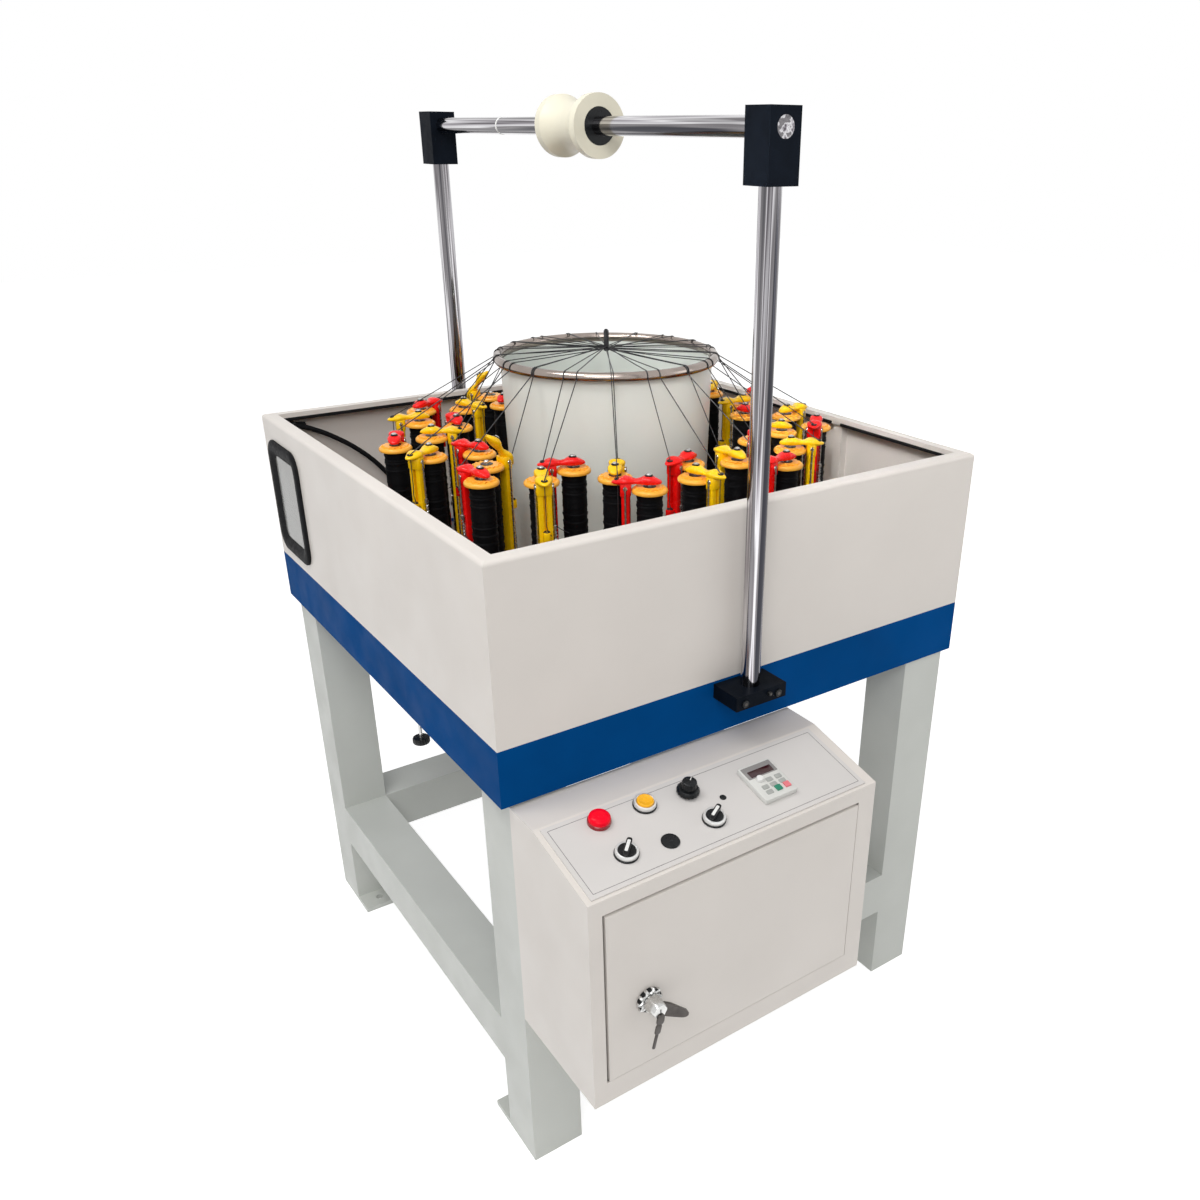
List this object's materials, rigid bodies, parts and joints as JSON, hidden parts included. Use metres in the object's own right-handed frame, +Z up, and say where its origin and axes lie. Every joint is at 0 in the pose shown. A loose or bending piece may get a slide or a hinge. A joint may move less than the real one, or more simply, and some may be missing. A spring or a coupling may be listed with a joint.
{
  "type": "wire braiding machine",
  "caption": "Free-standing wire braiding machine: 36 bobbin carriers on 18 horn gears round a drum, guard box on a stand, control cabinet in front, take-off arch above.",
  "frame": {"origin": "on the floor, midway between the four anchor holes, below the middle of the table", "axes": "+X to the operator's right along the front, +Y away from the operator, +Z up"},
  "size_m": [0.8538, 1.1408, 1.515],
  "materials": {
    "stand": "satin",
    "blue": "satin",
    "white": "satin",
    "machined": "satin",
    "drum_paint": "satin",
    "bright": "gloss",
    "strand": "matte",
    "block": "satin",
    "bush": "matte",
    "ivory": "satin",
    "pane": "gloss",
    "panel": "satin",
    "lamp": "gloss",
    "yellow": "gloss",
    "pad": "satin",
    "dial": "gloss",
    "run": "satin",
    "stop": "satin",
    "steel": "satin",
    "drive": "satin",
    "inverter": "satin",
    "carrier": "gloss"
  },
  "bodies": {
    "frame": {"legs": "stand", "stretchers": "stand", "table_skirt": "blue", "guard_front": "white", "guard_back": "white", "guard_left": "white", "guard_right": "white", "cabinet_shell": "white", "base_plate": "machined", "track_plates": "machined", "track_quoits": "machined", "drum": "drum_paint", "drum_ring": "bright", "arch_posts": "bright", "cross_bar": "bright", "control_bezels": "bright", "strand_web": "strand", "sensor_cable": "strand", "window_gasket": "strand", "arch_blocks": "block", "pulley_bushes": "bush", "panel_plug": "bush", "window_pane": "pane", "control_panel": "panel", "power_lamp": "lamp", "keypad_body": "pad", "door_hinge_pins": "steel", "drive_motor": "drive", "inverter": "inverter"},
    "gear_01": {"carrier_pair_01": "carrier"},
    "gear_02": {"carrier_pair_02": "carrier"},
    "gear_03": {"carrier_pair_03": "carrier"},
    "gear_04": {"carrier_pair_04": "carrier"},
    "gear_05": {"carrier_pair_05": "carrier"},
    "gear_06": {"carrier_pair_06": "carrier"},
    "gear_07": {"carrier_pair_07": "carrier"},
    "gear_08": {"carrier_pair_08": "carrier"},
    "gear_09": {"carrier_pair_09": "carrier"},
    "gear_10": {"carrier_pair_10": "carrier"},
    "gear_11": {"carrier_pair_11": "carrier"},
    "gear_12": {"carrier_pair_12": "carrier"},
    "gear_13": {"carrier_pair_13": "carrier"},
    "gear_14": {"carrier_pair_14": "carrier"},
    "gear_15": {"carrier_pair_15": "carrier"},
    "gear_16": {"carrier_pair_16": "carrier"},
    "gear_17": {"carrier_pair_17": "carrier"},
    "gear_18": {"carrier_pair_18": "carrier"},
    "pinion": {"drive_pinion": "steel"},
    "pulley": {"pulley": "ivory"},
    "button": {"start_button": "yellow"},
    "selector_left": {"selector_left": "bush"},
    "selector_right": {"selector_right": "bush"},
    "speed_knob": {"speed_knob": "bush"},
    "keypad_dial": {"keypad_dial": "dial"},
    "key_run": {"keypad_run_key": "run"},
    "key_stop": {"keypad_stop_key": "stop"},
    "door": {"cabinet_door": "white", "lock_body": "bright"},
    "lock": {"lock_handle": "bright"},
    "adjuster": {"adjuster_knob": "bush"}
  },
  "joints": [
    {"name": "gear_01_turn", "type": "hinge", "parent": "frame", "child": "gear_01", "pos_m": [0.018, -0.29946, 0.715], "axis": [0, 0, 1], "range_deg": [-15, 70]},
    {"name": "gear_02_turn", "type": "hinge", "parent": "frame", "child": "gear_02", "pos_m": [0.12042, -0.2814, 0.715], "axis": [0, 0, 1], "range_deg": [-70, 15]},
    {"name": "gear_03_turn", "type": "hinge", "parent": "frame", "child": "gear_03", "pos_m": [0.21049, -0.2294, 0.715], "axis": [0, 0, 1], "range_deg": [-15, 70]},
    {"name": "gear_04_turn", "type": "hinge", "parent": "frame", "child": "gear_04", "pos_m": [0.27734, -0.14973, 0.715], "axis": [0, 0, 1], "range_deg": [-70, 15]},
    {"name": "gear_05_turn", "type": "hinge", "parent": "frame", "child": "gear_05", "pos_m": [0.31291, -0.052, 0.715], "axis": [0, 0, 1], "range_deg": [-15, 70]},
    {"name": "gear_06_turn", "type": "hinge", "parent": "frame", "child": "gear_06", "pos_m": [0.31291, 0.052, 0.715], "axis": [0, 0, 1], "range_deg": [-70, 15]},
    {"name": "gear_07_turn", "type": "hinge", "parent": "frame", "child": "gear_07", "pos_m": [0.27734, 0.14973, 0.715], "axis": [0, 0, 1], "range_deg": [-15, 70]},
    {"name": "gear_08_turn", "type": "hinge", "parent": "frame", "child": "gear_08", "pos_m": [0.21049, 0.2294, 0.715], "axis": [0, 0, 1], "range_deg": [-70, 15]},
    {"name": "gear_09_turn", "type": "hinge", "parent": "frame", "child": "gear_09", "pos_m": [0.12042, 0.2814, 0.715], "axis": [0, 0, 1], "range_deg": [-15, 70]},
    {"name": "gear_10_turn", "type": "hinge", "parent": "frame", "child": "gear_10", "pos_m": [0.018, 0.29946, 0.715], "axis": [0, 0, 1], "range_deg": [-70, 15]},
    {"name": "gear_11_turn", "type": "hinge", "parent": "frame", "child": "gear_11", "pos_m": [-0.08442, 0.2814, 0.715], "axis": [0, 0, 1], "range_deg": [-15, 70]},
    {"name": "gear_12_turn", "type": "hinge", "parent": "frame", "child": "gear_12", "pos_m": [-0.17449, 0.2294, 0.715], "axis": [0, 0, 1], "range_deg": [-70, 15]},
    {"name": "gear_13_turn", "type": "hinge", "parent": "frame", "child": "gear_13", "pos_m": [-0.24134, 0.14973, 0.715], "axis": [0, 0, 1], "range_deg": [-15, 70]},
    {"name": "gear_14_turn", "type": "hinge", "parent": "frame", "child": "gear_14", "pos_m": [-0.27691, 0.052, 0.715], "axis": [0, 0, 1], "range_deg": [-70, 15]},
    {"name": "gear_15_turn", "type": "hinge", "parent": "frame", "child": "gear_15", "pos_m": [-0.27691, -0.052, 0.715], "axis": [0, 0, 1], "range_deg": [-15, 70]},
    {"name": "gear_16_turn", "type": "hinge", "parent": "frame", "child": "gear_16", "pos_m": [-0.24134, -0.14973, 0.715], "axis": [0, 0, 1], "range_deg": [-70, 15]},
    {"name": "gear_17_turn", "type": "hinge", "parent": "frame", "child": "gear_17", "pos_m": [-0.17449, -0.2294, 0.715], "axis": [0, 0, 1], "range_deg": [-15, 70]},
    {"name": "gear_18_turn", "type": "hinge", "parent": "frame", "child": "gear_18", "pos_m": [-0.08442, -0.2814, 0.715], "axis": [0, 0, 1], "range_deg": [-70, 15]},
    {"name": "pinion_turn", "type": "hinge", "parent": "frame", "child": "pinion", "pos_m": [0.20228, -0.1064, 0.708], "axis": [0, 0, 1], "range_deg": [-22.5, 105]},
    {"name": "pulley_turn", "type": "hinge", "parent": "frame", "child": "pulley", "pos_m": [-0.038, -0.03, 1.473], "axis": [0, 1, 0], "continuous": true},
    {"name": "button_press", "type": "slide", "parent": "frame", "child": "button", "axis": [0, 0.2331, -0.9725], "range_m": [0, 0.004], "stiffness_N_per_m": 250, "springref_m": -0.002},
    {"name": "selector_left_turn", "type": "hinge", "parent": "frame", "child": "selector_left", "pos_m": [-0.326, -0.58169, 0.65697], "axis": [0, -0.2331, 0.9725], "range_deg": [0, 90]},
    {"name": "selector_right_turn", "type": "hinge", "parent": "frame", "child": "selector_right", "pos_m": [-0.19, -0.58363, 0.6565], "axis": [0, -0.2331, 0.9725], "range_deg": [0, 90]},
    {"name": "speed_knob_turn", "type": "hinge", "parent": "frame", "child": "speed_knob", "pos_m": [-0.194, -0.52917, 0.66956], "axis": [0, -0.2331, 0.9725], "range_deg": [-150, 150]},
    {"name": "keypad_dial_turn", "type": "hinge", "parent": "frame", "child": "keypad_dial", "pos_m": [-0.0945, -0.56025, 0.66622], "axis": [0, -0.2331, 0.9725], "range_deg": [-135, 135]},
    {"name": "key_run_press", "type": "slide", "parent": "frame", "child": "key_run", "axis": [0, 0.2331, -0.9725], "range_m": [0, 0.0012], "stiffness_N_per_m": 200, "springref_m": -0.001},
    {"name": "key_stop_press", "type": "slide", "parent": "frame", "child": "key_stop", "axis": [0, 0.2331, -0.9725], "range_m": [0, 0.0012], "stiffness_N_per_m": 200, "springref_m": -0.001},
    {"name": "door_swing", "type": "hinge", "parent": "frame", "child": "door", "pos_m": [0.022, -0.6215, 0.4755], "axis": [0, 0, 1], "range_deg": [0, 110]},
    {"name": "lock_turn", "type": "hinge", "parent": "door", "child": "lock", "pos_m": [-0.327, -0.6285, 0.451], "axis": [0, 1, 0], "range_deg": [0, 90]},
    {"name": "adjuster_turn", "type": "hinge", "parent": "frame", "child": "adjuster", "pos_m": [-0.374, -0.032, 0.63], "axis": [0, 0, 1], "range_deg": [-180, 180]}
  ],
  "couplings": [
    {"joint": "gear_02_turn", "follows": "gear_01_turn", "ratio": -1},
    {"joint": "gear_03_turn", "follows": "gear_01_turn", "ratio": 1},
    {"joint": "gear_04_turn", "follows": "gear_01_turn", "ratio": -1},
    {"joint": "gear_05_turn", "follows": "gear_01_turn", "ratio": 1},
    {"joint": "gear_06_turn", "follows": "gear_01_turn", "ratio": -1},
    {"joint": "gear_07_turn", "follows": "gear_01_turn", "ratio": 1},
    {"joint": "gear_08_turn", "follows": "gear_01_turn", "ratio": -1},
    {"joint": "gear_09_turn", "follows": "gear_01_turn", "ratio": 1},
    {"joint": "gear_10_turn", "follows": "gear_01_turn", "ratio": -1},
    {"joint": "gear_11_turn", "follows": "gear_01_turn", "ratio": 1},
    {"joint": "gear_12_turn", "follows": "gear_01_turn", "ratio": -1},
    {"joint": "gear_13_turn", "follows": "gear_01_turn", "ratio": 1},
    {"joint": "gear_14_turn", "follows": "gear_01_turn", "ratio": -1},
    {"joint": "gear_15_turn", "follows": "gear_01_turn", "ratio": 1},
    {"joint": "gear_16_turn", "follows": "gear_01_turn", "ratio": -1},
    {"joint": "gear_17_turn", "follows": "gear_01_turn", "ratio": 1},
    {"joint": "gear_18_turn", "follows": "gear_01_turn", "ratio": -1},
    {"joint": "pinion_turn", "follows": "gear_01_turn", "ratio": 1.5}
  ]
}
